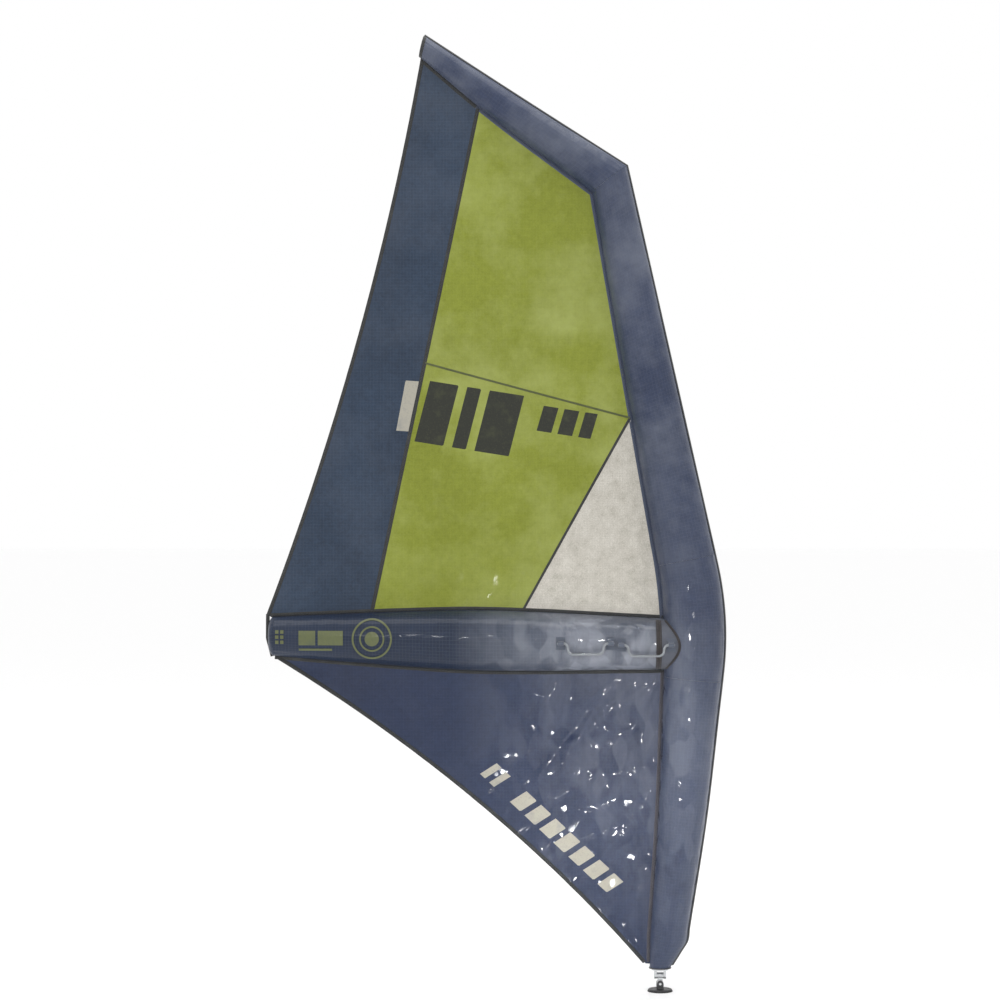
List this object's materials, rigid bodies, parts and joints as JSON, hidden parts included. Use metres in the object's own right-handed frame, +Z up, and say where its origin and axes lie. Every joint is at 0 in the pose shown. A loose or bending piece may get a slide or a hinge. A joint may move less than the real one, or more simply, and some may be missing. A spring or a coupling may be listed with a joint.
{
  "type": "inflatable windsurf sail rig",
  "caption": "Child's one-piece inflatable windsurf rig: inflated mast and boom, panelled sail, hand loops, inflation valve, and a mast foot that spins and tilts.",
  "frame": {"origin": "middle of the underside of the deck pad, where the mast foot stands on the board", "axes": "+Z up the mast, +X from the clew towards the mast, +Y to port (the valve's side); the sail lies near the plane y = 0"},
  "size_m": [1.1048, 0.1716, 2.2959],
  "materials": {
    "tube_and_sail_cloth": "satin",
    "green_cloth": "satin",
    "window_film": "satin",
    "seam_tape": "matte",
    "reinforcing_cloth": "matte",
    "bladder_film": "satin",
    "webbing": "matte",
    "moulded_plastic": "matte",
    "pad_rubber": "matte",
    "stainless_steel": "satin"
  },
  "bodies": {
    "rig": {"mast_sleeve_lower": "tube_and_sail_cloth", "mast_sleeve_bend": "tube_and_sail_cloth", "mast_sleeve_upper": "tube_and_sail_cloth", "head_sleeve": "tube_and_sail_cloth", "head_end_cap": "tube_and_sail_cloth", "boom_sleeve": "tube_and_sail_cloth", "boom_end_cap": "tube_and_sail_cloth", "mast_bladder": "bladder_film", "boom_bladder": "bladder_film", "transfer_hose": "bladder_film", "hose_clip": "moulded_plastic", "mast_rub_strip": "seam_tape", "head_rub_strip": "seam_tape", "boom_joint_patch_starboard": "reinforcing_cloth", "boom_joint_patch_port": "reinforcing_cloth", "clew_binding": "seam_tape", "leech_binding": "seam_tape", "foot_binding": "seam_tape", "mast_seam_upper": "seam_tape", "mast_seam_lower": "seam_tape", "head_seam": "seam_tape", "boom_seam_upper": "seam_tape", "boom_seam_lower": "seam_tape", "leech_seam": "seam_tape", "body_seam": "green_cloth", "window_seam": "seam_tape", "leech_panel": "tube_and_sail_cloth", "body_panel_upper": "green_cloth", "body_panel_lower": "green_cloth", "window_panel": "window_film", "foot_panel": "tube_and_sail_cloth", "handle_front_starboard_anchor_aft": "reinforcing_cloth", "handle_front_starboard_anchor_fore": "reinforcing_cloth", "handle_front_port_anchor_aft": "reinforcing_cloth", "handle_front_port_anchor_fore": "reinforcing_cloth", "handle_rear_starboard_anchor_aft": "reinforcing_cloth", "handle_rear_starboard_anchor_fore": "reinforcing_cloth", "handle_rear_port_anchor_aft": "reinforcing_cloth", "handle_rear_port_anchor_fore": "reinforcing_cloth", "valve_body": "moulded_plastic", "valve_back_nut": "moulded_plastic", "valve_spring": "stainless_steel", "valve_hinge_pin": "stainless_steel", "mast_base_plug": "moulded_plastic", "lock_spring": "stainless_steel"},
    "swivel": {"swivel_pin_yoke": "stainless_steel", "joint_axle_side": "stainless_steel"},
    "link": {"joint_link": "stainless_steel"},
    "deck": {"deck_yoke": "moulded_plastic", "deck_pad": "pad_rubber", "joint_axle_fore_aft": "stainless_steel"},
    "lock": {"lock_pin": "stainless_steel"},
    "plunger": {"valve_plunger": "moulded_plastic"},
    "cap": {"valve_cap": "moulded_plastic"},
    "handle_front_starboard_loop": {"handle_front_starboard": "webbing"},
    "handle_front_port_loop": {"handle_front_port": "webbing"},
    "handle_rear_starboard_loop": {"handle_rear_starboard": "webbing"},
    "handle_rear_port_loop": {"handle_rear_port": "webbing"}
  },
  "joints": [
    {"name": "foot_spin", "type": "hinge", "parent": "rig", "child": "swivel", "pos_m": [0, 0, 0.058], "axis": [0, 0, 1], "continuous": true},
    {"name": "foot_tilt_side", "type": "hinge", "parent": "swivel", "child": "link", "pos_m": [0, 0, 0.038], "axis": [1, 0, 0], "range_deg": [-65, 65]},
    {"name": "foot_tilt_fore_aft", "type": "hinge", "parent": "link", "child": "deck", "pos_m": [0, 0, 0.019], "axis": [0, 1, 0], "range_deg": [-65, 65]},
    {"name": "lock_pull", "type": "slide", "parent": "rig", "child": "lock", "axis": [0, 1, 0], "range_m": [0, 0.004], "stiffness_N_per_m": 400, "springref_m": -0.005, "deforming": ["lock_spring"]},
    {"name": "valve_push", "type": "slide", "parent": "rig", "child": "plunger", "axis": [0, -1, 0], "range_m": [0, 0.004], "stiffness_N_per_m": 300, "springref_m": -0.003, "deforming": ["valve_spring"]},
    {"name": "valve_cap_open", "type": "hinge", "parent": "rig", "child": "cap", "pos_m": [0.071, 0.07506, 0.682], "axis": [1, 0, 0], "range_deg": [0, 150]},
    {"name": "front_starboard_loop_lift", "type": "hinge", "parent": "rig", "child": "handle_front_starboard_loop", "pos_m": [-0.0365, -0.07242, 0.834], "axis": [-1, 0, 0], "range_deg": [0, 110]},
    {"name": "front_port_loop_lift", "type": "hinge", "parent": "rig", "child": "handle_front_port_loop", "pos_m": [-0.0365, 0.07242, 0.834], "axis": [1, 0, 0], "range_deg": [0, 110]},
    {"name": "rear_starboard_loop_lift", "type": "hinge", "parent": "rig", "child": "handle_rear_starboard_loop", "pos_m": [-0.1805, -0.07746, 0.838], "axis": [-1, 0, 0], "range_deg": [0, 110]},
    {"name": "rear_port_loop_lift", "type": "hinge", "parent": "rig", "child": "handle_rear_port_loop", "pos_m": [-0.1805, 0.07746, 0.838], "axis": [1, 0, 0], "range_deg": [0, 110]}
  ]
}
